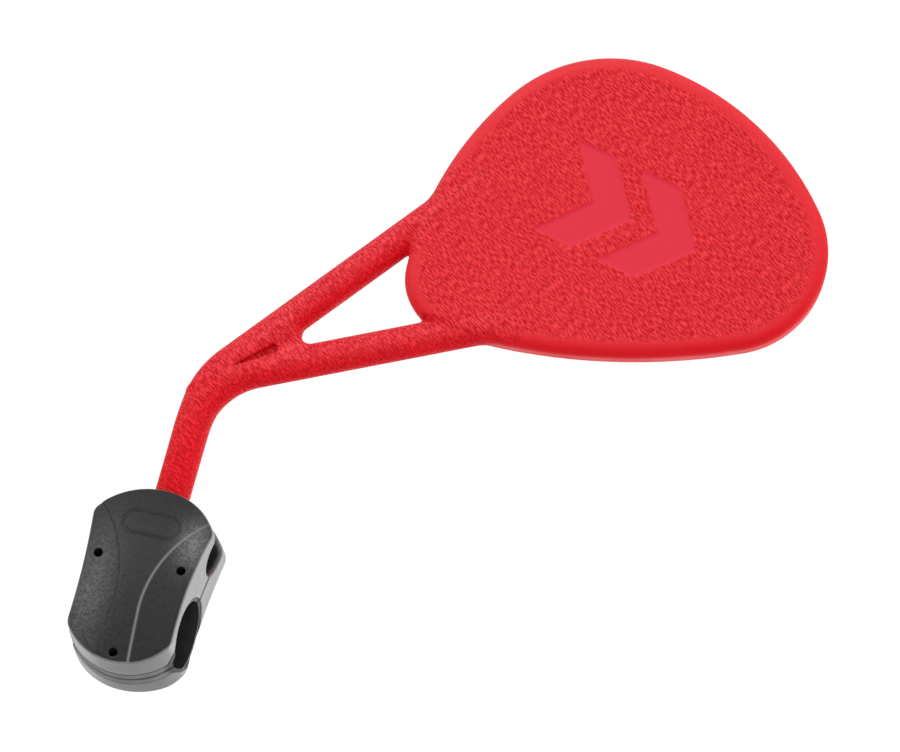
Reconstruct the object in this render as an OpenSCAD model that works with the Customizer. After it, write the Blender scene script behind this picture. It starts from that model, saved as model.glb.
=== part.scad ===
// Folding rear-view mirror for a motorcycle handlebar, with its two-shell bar clamp.
// The origin is the centre of the handlebar bore. +X runs along the bar to the rider's right,
// +Y points forward and +Z points up along the clamp. The glass faces the rider, towards -Y.

/* [Handlebar bore] */
// Diameter of the handlebar that the clamp grips, in mm
bar_d = 22.2; // [22:0.1:25.4]
// Wall of the sleeve halves between the bar and the shells
sleeve_wall = 1.3; // [0.8:0.1:2]
// Slit left between the two sleeve halves, which lets the clamp tighten
sleeve_slit = 1.0; // [0.6:0.1:2]
// Thickness of the flange that each sleeve half has below the bar
flange_t = 3; // [1:0.1:4]

/* [Clamp outline] */
// Height of the top of the clamp above the bar centre, at the split between the shells
clamp_top = 43.2; // [38:0.1:46]
// Depth of the bottom of the clamp below the bar centre, at the split
clamp_bottom = 18.9; // [18:0.1:24]
// Radius of the arched top, at the split
top_arc_r = 23.6; // [22:0.1:30]
// Radius of the arched bottom, at the split
low_arc_r = 21.9; // [19:0.1:26]
// Half width at the narrow waist, at the split
waist_half_w = 18.3; // [16:0.1:20]
// Height of the waist
waist_h = -2.4; // [-6:0.1:10]
// Radius of the hollow sides
waist_r = 188; // [60:1:240]
// Lean of all side walls, which makes the clamp narrower towards its front face
side_draft = 4.2; // [0:0.1:5]

/* [Clamp depth] */
// How far the front shell stands out before the bar centre
front_crest = 18.2; // [16:0.1:21]
// How far the rear shell stands out behind the bar centre
rear_crest = 18; // [15:0.1:19]
// Height of the thickest place of both shells
crest_h = 7.7; // [5:0.1:14]
// Radius of the domed front face
front_dome_r = 95; // [60:1:160]
// Radius of the domed rear face
rear_dome_r = 78; // [60:1:160]
// Radius of the rear face across the clamp
rear_side_r = 40; // [30:1:80]
// Place of the crest of that curve behind the bar centre
rear_side_crest = 18; // [16:0.1:20]
// Height of the step beside the raised middle band of the front face
wing_step = 0.5; // [0.2:0.1:1]
// Half width of the middle band at its narrowest
band_half_w = 4.0; // [3:0.1:7]
// Radius of the curved part of the band's edge
band_edge_r = 45; // [30:1:70]
// Height at which the band's edge starts to curve outwards
band_bend_h = 1; // [-4:0.5:6]
// Half width of the middle band at the bottom of the clamp
band_foot_half_w = 5.2; // [4:0.1:8]

/* [Ring badge] */
// Width of the plain ring on the front face
badge_w = 19.5; // [12:0.5:24]
// Height of the ring
badge_h = 9.2; // [6:0.2:12]
// Height of the middle of the ring above the bar centre
badge_at_h = 28.8; // [24:0.2:31]
// How deep the ring is sunk
badge_deep = 0.35; // [0.2:0.05:0.6]
// Width of the sunken line
badge_line = 0.9; // [0.5:0.1:1.5]

/* [Screws] */
// Distance of the two middle screws from the centre line
mid_screw_x = 13.7; // [12:0.1:15]
// Height of the two middle screws
mid_screw_h = 15.2; // [14:0.1:17]
// Height of the bottom screw
low_screw_h = -15; // [-17:0.1:-15]
// Diameter of the screw shanks
screw_d = 3.5; // [3:0.1:4]
// Diameter of the screw heads
screw_head_d = 6.2; // [5.5:0.1:7]
// Height of the screw heads
screw_head_h = 2.6; // [2:0.1:3.5]
// Length of the screws under the head
screw_len = 19; // [16:0.5:22]
// Diameter of the pilot holes that come out on the front face
pilot_d = 2.8; // [2.2:0.1:3]
// Depth at which the screw heads sit, behind the bar centre
screw_seat = 8.6; // [7:0.1:10]
// Width across the cross recess in the screw heads
recess_w = 3.4; // [2.5:0.1:4]

/* [Ball joint] */
// Diameter of the ball at the foot of the arm
ball_d = 17; // [15:0.1:19]
// Height of the ball centre above the bar centre
ball_h = 26.5; // [25:0.1:28]
// Offset of the ball centre behind the bar centre
ball_back = 2; // [0:0.1:4]
// Wall of the two cups that hold the ball
cup_wall = 1.2; // [0.8:0.1:2]
// Gap on each side of the cups, so that they turn
joint_gap = 0.3; // [0.2:0.05:0.4]
// Room around the arm where it leaves the clamp
slot_gap = 0.7; // [0.4:0.1:1.2]
// Forward tilt of the arm as it is set
arm_tilt = 15; // [8:0.5:18]
// Sideways lean of the arm as it is set, towards its own mirror head
arm_lean = 2.5; // [0:0.5:20]

/* [Arm] */
// Diameter of the round stem
stem_d = 10.8; // [9:0.1:12]
// Diameter of the two struts that carry the head
strut_d = 11.1; // [10:0.1:13]
// Distance along the stem at which both struts would meet its axis
fork_at = 57.3; // [55:0.5:70]
// Radius of the two bends at the fork, along the strut axis
bend_r = 27.4; // [14:0.1:32]
// Turn of the upper strut away from the stem axis
upper_turn = 39.2; // [30:0.1:45]
// Turn of the lower strut away from the stem axis
lower_turn = 64.6; // [55:0.1:70]
// Length of the upper strut from the fork
upper_len = 114; // [95:1:125]
// Length of the lower strut from the fork
lower_len = 102; // [90:1:115]
// Thickness of the web that closes the narrow end of the fork
web_t = 8.6; // [6:0.2:11]
// Distance from the fork to the pointed end of the window, along the middle line
web_end = 34.6; // [28:0.2:38]
// Rounding of the pointed end of the window
window_r = 1.7; // [1:0.1:3]
// Start of the wedge pocket in the web, from the fork
pocket_start = 11; // [8:0.1:14]
// End of the wedge pocket in the web, from the fork
pocket_end = 26.4; // [20:0.1:27]
// Half width of the wedge pocket at its wide end
pocket_half_w = 1.3; // [0.8:0.1:2]
// Greatest depth of the wedge pocket
pocket_deep = 3.4; // [1:0.1:4]

/* [Head outline] */
// Position of the centre of the end arc, across from the stem axis
end_u = 155; // [140:0.1:170]
// Position of the centre of the end arc, along the stem from the ball
end_w = 140.6; // [140:0.1:160]
// Radius of the arc at the head's far end
end_r = 32.7; // [28:0.1:40]
// Radius of the upper outer arc
shoulder_r = 92.1; // [80:0.1:110]
// Radius of the top arc
crown_r = 49; // [40:0.1:55]
// Radius of the upper inner arc
brow_r = 105; // [85:0.5:110]
// Radius of the corner beside the window
heel_r = 17.8; // [15:0.1:22]
// Radius of the long bottom arc
belly_r = 212.5; // [200:0.5:260]
// Direction in which the end arc meets the shoulder arc
end_to_shoulder = 37.6; // [30:0.1:45]
// Direction in which the shoulder arc meets the crown arc
shoulder_to_crown = 82.5; // [80:0.1:95]
// Direction in which the crown arc meets the brow arc
crown_to_brow = 145.4; // [135:0.1:150]
// Direction in which the brow arc meets the heel arc
brow_to_heel = 183.1; // [180:0.1:200]

/* [Head section] */
// Height of the head's back face above the middle of the arm
head_back = 6.4; // [5:0.1:7]
// Depth of the head's rim below the middle of the arm
head_rim = 5.6; // [4.5:0.1:7]
// Rounding of the edge of the back face
back_edge_r = 4.2; // [3:0.1:5]
// Rounding of the rim on the glass side
rim_edge_r = 1.0; // [0.5:0.1:1.5]
// Width of the rim around the glass
rim_w = 2.4; // [1.5:0.1:4]
// Thickness of the back wall over the hollow
back_wall = 2.8; // [2:0.1:4]
// Width of the ledge that the glass is stuck to
ledge_w = 6; // [4:0.2:9]

/* [Sunken mark] */
// Depth of the sunken mark in the back face
mark_deep = 0.5; // [0.2:0.1:0.8]
// Place of the mark, across from the stem axis
mark_u = 120.5; // [110:0.5:130]
// Place of the mark, along the stem from the ball
mark_w = 143; // [140:1:160]
// Turn of the mark on the face
mark_turn = -12; // [-30:1:30]
// Distance between the two chevrons
mark_step = 23.2; // [18:0.1:30]
// Reach of each chevron's arms
mark_arm = 13.5; // [8:0.1:20]
// Thickness of each chevron along its point
mark_thick = 13.5; // [8:0.1:18]
// Half height of the mark
mark_half_h = 16.4; // [12:0.1:22]

/* [Glass] */
// Thickness of the glass
glass_t = 2.4; // [2:0.1:3]
// Gap around the glass
glass_gap = 0.3; // [0.2:0.05:0.5]
// Thickness of the adhesive pad behind the glass
pad_t = 0.8; // [0.5:0.1:1.5]
// Distance of the pad's edge from the edge of the recess
pad_inset = 1; // [0.5:0.1:3]

/* [Hidden] */
$fn = 96;
wide_sides = 180;
stem_sides = 64;
head_sides = 48;
hole_sides = 32;
shell_colour = [0.16, 0.16, 0.17];
sleeve_colour = [0.1, 0.1, 0.11];
screw_colour = [0.62, 0.63, 0.65];
cup_colour = [0.13, 0.13, 0.14];
body_colour = [0.87, 0.16, 0.18];
pad_colour = [0.2, 0.2, 0.21];
glass_colour = [0.8, 0.84, 0.88];
// How far a cutting shape reaches past the surface that it cuts
past = 1;
bar_r = bar_d / 2;
sleeve_r = bar_r + sleeve_wall;
half_slit = sleeve_slit / 2;
flange_far = half_slit + flange_t;
fit_gap = 0.05;
top_arc_h = clamp_top - top_arc_r;
low_arc_h = low_arc_r - clamp_bottom;
big = 60;
ball_r = ball_d / 2;
cup_in_r = ball_r + joint_gap;
cup_out_r = cup_in_r + cup_wall;
socket_r = cup_out_r + joint_gap;
stem_r = stem_d / 2;
strut_r = strut_d / 2;
slot_half = (stem_r + slot_gap) / cos(arm_tilt);
slot_reach = 45;
cup_trim = 1.2;
cup_foot_gap = 0.5;
screw_r = screw_d / 2;
screw_tip = screw_seat - screw_len;
tip_cone_h = 2.2;
tip_r = screw_r / 4;
recess_deep = 1.5;
recess_bar = 0.8;
upper_bend_at = fork_at - bend_r * tan(upper_turn / 2);
lower_bend_at = fork_at - bend_r * tan(lower_turn / 2);
middle_turn = (upper_turn + lower_turn) / 2;
half_fork = (lower_turn - upper_turn) / 2;
// Centres of the six tangent arcs of the head outline, found one from the other
end_c = [end_u, end_w];
shoulder_c = end_c + (end_r - shoulder_r) * [cos(end_to_shoulder), sin(end_to_shoulder)];
crown_c = shoulder_c + (shoulder_r - crown_r) * [cos(shoulder_to_crown), sin(shoulder_to_crown)];
brow_c = crown_c + (crown_r - brow_r) * [cos(crown_to_brow), sin(crown_to_brow)];
heel_c = brow_c + (brow_r - heel_r) * [cos(brow_to_heel), sin(brow_to_heel)];
// The belly arc touches the heel arc and the end arc, so its centre is where two circles cross
span = end_c - heel_c;
span_len = norm(span);
from_heel = belly_r - heel_r;
from_end = belly_r - end_r;
along = (from_heel * from_heel - from_end * from_end + span_len * span_len) / (2 * span_len);
across = sqrt(from_heel * from_heel - along * along);
belly_c = heel_c + along * span / span_len + across * [-span[1], span[0]] / span_len;
heel_to_belly = 360 + atan2(heel_c[1] - belly_c[1], heel_c[0] - belly_c[0]);
belly_to_end = 360 + atan2(end_c[1] - belly_c[1], end_c[0] - belly_c[0]);
arc_centres = [end_c, shoulder_c, crown_c, brow_c, heel_c, belly_c];
arc_radii = [end_r, shoulder_r, crown_r, brow_r, heel_r, belly_r];
arc_turns = [end_to_shoulder, shoulder_to_crown, crown_to_brow, brow_to_heel, heel_to_belly];
arc_starts = concat([belly_to_end - 360], arc_turns);
arc_ends = concat(arc_turns, [belly_to_end]);
arc_steps = 12;
bend_steps = 8;
tube_sides = 28;
rim_edge_step = 45;
back_edge_step = 15;
swell_len = 8;
swell_rings = 4;
// The upper strut starts a little wider, so that the skins of the two struts cross cleanly
strut_step = 0.1;
pocket_lead = 0.5;
glass_seat = -head_rim + glass_t + pad_t;

// Face-on drawing frame: x across, y up the clamp, z out of the front face
module face_on() {
  rotate([90, 0, 180])
    children();
}

// Drawing frame of the arm: origin in the ball, y along the stem, z out of the head's back face
module in_arm() {
  translate([0, -ball_back, ball_h])
    rotate([0, -arm_lean, 0])
      rotate([-arm_tilt, 0, 0])
        face_on()
          children();
}

// ---------- clamp ----------

// One arched end of the clamp, as a cone around its own centre at height h
module arched_end(h, r, from, to) {
  start_r = r - from * tan(side_draft);
  end_r = r - to * tan(side_draft);
  translate([0, h, from])
    cylinder(h = to - from, r1 = start_r, r2 = end_r, $fn = wide_sides);
}

// One hollow side, as a leaning cylinder to be cut away; side is 1 or -1
module side_cut(side) {
  translate([side * (waist_half_w + waist_r), waist_h, 0])
    rotate([0, -side * side_draft, 0])
      cylinder(h = 4 * big, r = waist_r, center = true, $fn = wide_sides);
}

module clamp_block(from, to) {
  difference() {
    intersection() {
      union() {
        arched_end(top_arc_h, top_arc_r, from, to);
        translate([-big, top_arc_h - 2 * big, from])
          cube([2 * big, 2 * big, to - from]);
      }
      union() {
        arched_end(low_arc_h, low_arc_r, from, to);
        translate([-big, low_arc_h, from])
          cube([2 * big, 2 * big, to - from]);
      }
    }
    side_cut(1);
    side_cut(-1);
  }
}

// Everything below a domed face, as a cylinder across the clamp
module under_dome(crest, dome_r) {
  translate([0, crest_h, crest - dome_r])
    rotate([0, 90, 0])
      cylinder(h = 2 * big, r = dome_r, center = true, $fn = wide_sides);
}

module wing_area(side) {
  mirror([side < 0 ? 1 : 0, 0, 0]) {
    translate([band_half_w + band_edge_r, band_bend_h])
      circle(r = band_edge_r, $fn = wide_sides);
    translate([band_half_w + band_edge_r, band_bend_h - big])
      square([big, 2 * big]);
    polygon([
      [band_half_w, band_bend_h],
      [band_foot_half_w, -clamp_bottom - past],
      [big, -clamp_bottom - past],
      [big, band_bend_h],
    ]);
  }
}

// The layer that is taken off the front face beside the middle band
module wing_layer(side) {
  difference() {
    linear_extrude(height = big)
      wing_area(side);
    under_dome(front_crest - wing_step, front_dome_r - wing_step);
  }
}

// A plain ring with straight long sides, sunk to an even depth under the dome
module badge_ring() {
  difference() {
    badge_area(badge_w, badge_h);
    badge_area(badge_w - 2 * badge_line, badge_h - 2 * badge_line);
    under_dome(front_crest - badge_deep, front_dome_r - badge_deep);
  }
}

module badge_area(w, h) {
  translate([0, badge_at_h, 0])
    linear_extrude(height = big) {
      square([w - h, h], center = true);
      for (side = [-1, 1])
        translate([side * (w - h) / 2, 0])
          circle(d = h);
    }
}

module bar_space(r) {
  rotate([0, 90, 0])
    cylinder(h = 2 * big, r = r, center = true);
}

// The space that the stem sweeps as it folds from side to side
module stem_sweep() {
  translate([0, ball_h, -ball_back]) {
    rotate_extrude(angle = 180)
      polygon([
        [0, -slot_half],
        [slot_reach, slot_reach * tan(arm_tilt) - slot_half],
        [slot_reach, slot_reach * tan(arm_tilt) + slot_half],
        [0, slot_half],
      ]);
    for (side = [-1, 1])
      rotate([0, side * (90 - arm_tilt), 0])
        cylinder(h = slot_reach, r = stem_r + slot_gap);
  }
}

module socket() {
  translate([0, ball_h, -ball_back])
    sphere(r = socket_r);
}

module at_screws() {
  for (place = [[-mid_screw_x, mid_screw_h], [mid_screw_x, mid_screw_h], [0, low_screw_h]])
    translate([place[0], place[1], 0])
      children();
}

// Seat for one sleeve flange below the bar; side is 1 for the front and -1 for the rear
module flange_seat(side) {
  low = side > 0 ? 0 : -flange_far - fit_gap;
  translate([-big, -big, low])
    cube([2 * big, big, flange_far + fit_gap]);
}

module front_shell() {
  color(shell_colour)
    face_on()
      difference() {
        intersection() {
          clamp_block(half_slit, front_crest + past);
          under_dome(front_crest, front_dome_r);
        }
        wing_layer(1);
        wing_layer(-1);
        badge_ring();
        bar_space(sleeve_r + fit_gap);
        flange_seat(1);
        socket();
        stem_sweep();
        at_screws() {
          translate([0, 0, -big])
            cylinder(h = 2 * big, d = pilot_d, $fn = hole_sides);
          cylinder(h = -screw_tip + fit_gap, r = screw_r + fit_gap, $fn = hole_sides);
        }
      }
}

module rear_shell() {
  color(shell_colour)
    face_on()
      difference() {
        intersection() {
          clamp_block(-rear_crest - past, -half_slit);
          translate([0, crest_h, rear_dome_r - rear_crest])
            rotate([0, 90, 0])
              cylinder(h = 2 * big, r = rear_dome_r, center = true, $fn = wide_sides);
          translate([0, 0, rear_side_r - rear_side_crest])
            rotate([90, 0, 0])
              cylinder(h = 2 * big, r = rear_side_r, center = true, $fn = wide_sides);
        }
        bar_space(sleeve_r + fit_gap);
        flange_seat(-1);
        socket();
        stem_sweep();
        at_screws() {
          translate([0, 0, -big])
            cylinder(h = big, r = screw_r + fit_gap, $fn = hole_sides);
          translate([0, 0, -big - screw_seat])
            cylinder(h = big, d = screw_head_d + 4 * fit_gap, $fn = head_sides);
        }
      }
}

// One half of the sleeve around the bar, with its flange; side is 1 for the front and -1 for the rear
module sleeve_half(side) {
  face_on()
    difference() {
      intersection() {
        union() {
          bar_space(sleeve_r);
          translate([-big, -big, -flange_far])
            cube([2 * big, big, 2 * flange_far]);
        }
        clamp_block(-big / 2, big / 2);
        translate([-big, -big, side > 0 ? half_slit : -half_slit - big])
          cube([2 * big, 2 * big, big]);
      }
      bar_space(bar_r);
      at_screws()
        cylinder(h = big, r = screw_r + fit_gap, center = true, $fn = hole_sides);
    }
}

module bar_sleeve_front() {
  color(sleeve_colour)
    sleeve_half(1);
}

module bar_sleeve_rear() {
  color(sleeve_colour)
    sleeve_half(-1);
}

module clamp_screws() {
  color(screw_colour)
    face_on()
      at_screws()
        difference() {
          union() {
            translate([0, 0, -screw_seat - screw_head_h])
              cylinder(h = screw_head_h, d = screw_head_d, $fn = head_sides);
            translate([0, 0, -screw_seat - fit_gap])
              cylinder(h = screw_len - tip_cone_h, r = screw_r, $fn = hole_sides);
            translate([0, 0, -screw_tip - tip_cone_h - 2 * fit_gap])
              cylinder(h = tip_cone_h, r1 = screw_r, r2 = tip_r, $fn = hole_sides);
          }
          for (turn = [0, 90])
            rotate(turn)
              translate([-recess_w / 2, -recess_bar / 2, -screw_seat - screw_head_h - past])
                cube([recess_w, recess_bar, recess_deep + past]);
        }
}

// ---------- ball cups ----------

// One cup: half of a hollow ball around the stem's axis, open where the stem comes out
module cup_half(side) {
  in_arm()
    rotate([-90, 0, 0])
      rotate(side > 0 ? 180 + cup_trim : cup_trim)
        rotate_extrude(angle = 180 - 2 * cup_trim)
          cup_section();
}

module cup_section() {
  difference() {
    circle(r = cup_out_r);
    circle(r = cup_in_r);
    translate([-big, -big])
      square([big, 2 * big]);
    square([stem_r + joint_gap, big]);
    translate([0, -big - cup_in_r + cup_foot_gap])
      square([big, big]);
  }
}

module ball_cup_front() {
  color(cup_colour)
    cup_half(1);
}

module ball_cup_rear() {
  color(cup_colour)
    cup_half(-1);
}

// ---------- mirror ----------

// Points on the head outline moved inwards, the same number on each arc
function outline(inset, height = 0) = [
  for (i = [0 : len(arc_centres) - 1])
    for (k = [0 : arc_steps - 1])
      let (a = arc_starts[i] + (arc_ends[i] - arc_starts[i]) * k / arc_steps)
        let (flat = arc_centres[i] + (arc_radii[i] - inset) * [cos(a), sin(a)])
          [flat[0], flat[1], height]
];

// The path of one strut: along the stem, round the bend, then straight to the head.
// Each entry holds the place and the turn away from the stem's axis.
function strut_path(start, bend_at, turn, run) = concat(
  [[0, start, 0]],
  [
    for (k = [0 : bend_steps])
      let (a = turn * k / bend_steps)
        [bend_r * (1 - cos(a)), bend_at + bend_r * sin(a), a]
  ],
  [[run * sin(turn), fork_at + run * cos(turn), turn]]
);

// A circle of points around one entry of a path
function tube_ring(at, r) = [
  for (k = [0 : tube_sides - 1])
    let (a = -360 * k / tube_sides)
      [at[0] + r * cos(a) * cos(at[2]), at[1] - r * cos(a) * sin(at[2]), r * sin(a)]
];

// A closed skin over a row of rings that all have the same number of points
module loft(rings) {
  n = len(rings[0]);
  last = len(rings) - 1;
  polyhedron(
    points = [for (ring = rings) each ring],
    faces = concat(
      [[for (k = [0 : n - 1]) k]],
      [
        for (i = [0 : n : (last - 1) * n])
          for (k = [0 : n - 1])
            [i + k, i + n + k, i + n + (k + 1) % n]
      ],
      [
        for (i = [0 : n : (last - 1) * n])
          for (k = [0 : n - 1])
            [i + k, i + n + (k + 1) % n, i + (k + 1) % n]
      ],
      [[for (k = [n - 1 : -1 : 0]) last * n + k]]
    )
  );
}

// One strut; it starts at radius first_r and soon reaches its full radius
module strut(start, first_r, bend_at, turn, run) {
  path = strut_path(start, bend_at, turn, run);
  loft([
    for (i = [0 : len(path) - 1])
      tube_ring(path[i], first_r + (strut_r - first_r) * min(i / swell_rings, 1))
  ]);
}

// The head as one block with both edges rounded
module head_block() {
  loft(concat(
    [
      for (a = [0 : rim_edge_step : 90])
        outline(rim_edge_r * (1 - sin(a)), -head_rim + rim_edge_r * (1 - cos(a)))
    ],
    [
      for (a = [0 : back_edge_step : 90])
        outline(back_edge_r * (1 - cos(a)), head_back - back_edge_r * (1 - sin(a)))
    ]
  ));
}

// A flat plate with the head's outline moved inwards, from height low to height high
module head_plate(inset, low, high) {
  translate([0, 0, low])
    linear_extrude(height = high - low)
      polygon([for (p = outline(inset)) [p[0], p[1]]]);
}

// The web in the narrow end of the fork, with the window's rounded point cut out of it
module fork_web() {
  half_w = web_end * tan(half_fork);
  translate([0, fork_at, 0])
    rotate(-middle_turn)
      difference() {
        translate([0, 0, -web_t / 2])
          linear_extrude(height = web_t)
            polygon([[0, 0], [half_w, web_end], [-half_w, web_end]]);
        translate([0, web_end, -web_t])
          cylinder(h = 2 * web_t, r = window_r, $fn = hole_sides);
      }
}

// The wedge pocket in the back of the web: deepest at the end towards the head
module fork_pocket() {
  floor_turn = atan(pocket_deep / (pocket_end - pocket_start));
  translate([0, fork_at, 0])
    rotate(-middle_turn)
      translate([0, pocket_start, web_t / 2])
        rotate([-floor_turn, 0, 0])
          linear_extrude(height = big)
            polygon([
              [0, -pocket_lead],
              [pocket_half_w, pocket_end - pocket_start],
              [-pocket_half_w, pocket_end - pocket_start],
            ]);
}

// A plain double chevron, to be sunk into the back face
module head_mark() {
  translate([mark_u, mark_w, head_back - mark_deep])
    rotate(mark_turn)
      linear_extrude(height = mark_deep + past)
        for (shift = [-mark_step / 2, mark_step / 2])
          translate([shift, 0])
            polygon([
              [-mark_arm, mark_half_h],
              [mark_thick - mark_arm, mark_half_h],
              [mark_thick, 0],
              [mark_thick - mark_arm, -mark_half_h],
              [-mark_arm, -mark_half_h],
              [0, 0],
            ]);
}

module mirror_body() {
  color(body_colour)
    in_arm()
      difference() {
        union() {
          sphere(r = ball_r);
          rotate([-90, 0, 0])
            cylinder(h = lower_bend_at, r = stem_r, $fn = stem_sides);
          strut(lower_bend_at - swell_len, stem_r + strut_step, upper_bend_at, upper_turn, upper_len);
          strut(lower_bend_at - past, stem_r, lower_bend_at, lower_turn, lower_len);
          fork_web();
          head_block();
        }
        head_mark();
        head_plate(rim_w, -head_rim - past, glass_seat);
        head_plate(rim_w + ledge_w, -head_rim - past, head_back - back_wall);
        fork_pocket();
      }
}

module glass_pad() {
  color(pad_colour)
    in_arm()
      head_plate(rim_w + pad_inset, glass_seat - pad_t + fit_gap, glass_seat - fit_gap);
}

module mirror_glass() {
  color(glass_colour)
    in_arm()
      head_plate(rim_w + glass_gap, -head_rim, glass_seat - pad_t);
}

front_shell();
rear_shell();
bar_sleeve_front();
bar_sleeve_rear();
clamp_screws();
ball_cup_front();
ball_cup_rear();
mirror_body();
glass_pad();
mirror_glass();
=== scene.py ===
"""Looks of a folding handlebar mirror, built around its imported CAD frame.

Shapes are signed distances in millimetres, skinned into meshes. Two drawing frames are used:
face-on (u across to the photo's right, w up the clamp, d out of the front face), centred in the bore, and
the arm's own frame (w along the stem, d out of the head's back face), centred in the ball.
"""

import math

import bpy
import numpy as np
from mathutils import Matrix, Vector

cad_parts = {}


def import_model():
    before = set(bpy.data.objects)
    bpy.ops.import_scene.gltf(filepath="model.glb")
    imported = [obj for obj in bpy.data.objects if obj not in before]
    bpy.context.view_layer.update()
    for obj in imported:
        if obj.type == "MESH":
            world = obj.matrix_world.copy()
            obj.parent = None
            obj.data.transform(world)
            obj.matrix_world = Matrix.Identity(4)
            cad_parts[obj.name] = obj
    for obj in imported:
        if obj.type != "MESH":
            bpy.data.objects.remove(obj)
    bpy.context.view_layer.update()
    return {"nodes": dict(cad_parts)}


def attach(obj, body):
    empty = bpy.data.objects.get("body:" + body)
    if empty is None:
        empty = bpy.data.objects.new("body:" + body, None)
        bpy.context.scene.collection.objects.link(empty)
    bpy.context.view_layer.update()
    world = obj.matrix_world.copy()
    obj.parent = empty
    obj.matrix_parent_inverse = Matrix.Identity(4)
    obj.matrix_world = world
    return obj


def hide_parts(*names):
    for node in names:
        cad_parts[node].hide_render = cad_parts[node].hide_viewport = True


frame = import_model()

MM = 0.001

# ---------- sizes, in millimetres ----------
ARM_TILT, ARM_LEAN = 15.0, 2.5
BALL_BACK, BALL_H, BALL_R = 2.0, 26.5, 8.5
STEM_R, STRUT_R = 5.4, 5.55
FORK_AT, BEND_R = 57.3, 27.4
UPPER_TURN, LOWER_TURN = 39.2, 64.6
UPPER_LEN, LOWER_LEN = 114.0, 102.0
SWELL_BEFORE, SWELL_AFTER = 8, 12
FORK_FILL, WEB_FILL, FOOT_FILL, NECK_FILL = 1.6, 2.8, 1.5, 1.5
WEB_HALF, WEB_END, WEB_EDGE = 4.3, 34.6, 0.8
POCKET_START, POCKET_END, POCKET_HALF, POCKET_DEEP = 11.0, 26.4, 1.3, 2.0
POCKET_LEAD, POCKET_FLOOR_EDGE, POCKET_EDGE = 0.15, 0.3, 0.45
END_C, END_R = np.array([155.0, 140.6]), 32.7
ARC_RADII = [END_R, 92.1, 49.0, 105.0, 17.8]
ARC_TURNS = [37.6, 82.5, 145.4, 183.1]
BELLY_R = 212.5
HEAD_BACK, HEAD_RIM = 6.4, 5.6
BACK_EDGE, RIM_EDGE, RECESS_EDGE = 4.6, 1.0, 0.3
RECESS_INSET, GLASS_SEAT = 2.4, -2.4
GLASS_GAP, GLASS_T, GLASS_DOME = 0.3, 2.4, 0.5
MARK_AT, MARK_TURN, MARK_DEEP = (120.5, 143.0), -12.0, 0.5
MARK_STEP, MARK_ARM, MARK_THICK, MARK_HALF_H = 23.2, 13.5, 13.5, 16.4
MARK_WALL = (-0.55, 0.35)

SLEEVE_R, HALF_SLIT, FLANGE_FAR = 12.4, 0.5, 3.5
CLAMP_TOP, CLAMP_BOTTOM = 43.2, 18.9
TOP_ARC_R, LOW_ARC_R = 23.6, 21.9
WAIST_HALF, WAIST_H, WAIST_R = 18.3, -2.4, 188.0
DRAFT = math.tan(math.radians(4.2))
OUTLINE_EDGE, FRONT_EDGE, REAR_EDGE, REAR_RIDGE, SLIT_EDGE = 1.0, 0.9, 2.6, 3.0, 0.3
FRONT_CREST, FRONT_DOME_R, CREST_H = 18.2, 95.0, 7.7
REAR_CREST, REAR_DOME_R = 18.0, 78.0
REAR_SIDE_CREST, REAR_SIDE_R = 18.0, 40.0
WING_STEP, WING_SLOPE, STEP_WALL = 0.5, 0.05, (-0.1, 0.7)
BAND_HALF, BAND_EDGE_R, BAND_BEND_H, BAND_FOOT_HALF = 4.0, 45.0, 1.0, 5.2
BADGE_W, BADGE_H, BADGE_AT_H, BADGE_DEEP, BADGE_LINE = 19.5, 9.2, 28.8, 0.35, 0.9
LINE_WALL = (0.12, BADGE_LINE / 2 + 0.15)
GATE_AT, GATE_DEEP, GATE_WALL = (-2.9, 9.0), 0.25, (0.25, 0.7)
SCREW_PLACES = [(-13.7, 15.2), (13.7, 15.2), (0.0, -15.0)]
SCREW_R, SCREW_END, SCREW_SEAT, PILOT_R, HEAD_ROOM_R = 1.75, 10.4, 8.6, 1.4, 3.2
SOCKET_R, SLOT_GAP = 10.3, 0.7
FIT_GAP, SEAM = 0.05, 0.4
SEAT_FILL, SEAT_EDGE, SOCKET_EDGE, PILOT_EDGE, HEAD_ROOM_EDGE = 0.4, 0.35, 0.5, 0.25, 0.3

# ---------- light and camera ----------

WORLD_BASE = 0.66
# Surroundings: direction, where the extra light starts and is full (cosines), and its strength
SURROUNDINGS = [
    ((0.1, -1.0, 0.3), 0.30, 0.80, 0.40),
    ((-0.45, -0.50, -0.75), 0.10, 0.85, 1.6),
    ((0.45, 0.80, 0.35), 0.70, 0.98, 0.8),
    ((-0.85, 0.30, 0.35), 0.55, 0.95, 0.8),
]
KEY_AT, KEY_AIM, KEY_SIZE, KEY_POWER = (0.55, 1.1, 0.75), (-0.05, 0, 0.08), 0.7, 4.0
CAMERA_AT = (-0.17249, 0.76547, -0.21659)
CAMERA_RIGHT, CAMERA_BACK = (-0.97201, -0.01972, 0.23413), (-0.11184, 0.91518, -0.38722)
CAMERA_LENS, CAMERA_SENSOR = 100.0, 36.0
FLOOR_HALF, FLOOR_H = 6.0, -1.2

# ---------- materials: linear colours, and the slant of the head's grain ----------
STROKE_TURN = math.radians(32)
RED_DEEP = (0.530, 0.0003, 0.0040, 1), (0.830, 0.0030, 0.0130, 1)
# The second pair is the same red with a painted sheen, used on what faces the upper left.
RED_PAINTED_SHEEN = (0.530, 0.0060, 0.0150, 1), (0.840, 0.0580, 0.0700, 1)
# The mark's paler, bluer red is a painted reflection off its smooth floor.
RED_MARK = (0.690, 0.0330, 0.0640, 1)

# ---------- how finely the solids are skinned, in millimetres ----------
MIRROR_VOXEL, SHELL_VOXEL = 0.62, 0.34


# ---------- frames ----------
def face_on(points):
    """Face-on millimetres to row-frame metres."""
    u, w, d = points.T
    return np.stack([-u, d, w], 1) * MM


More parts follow.
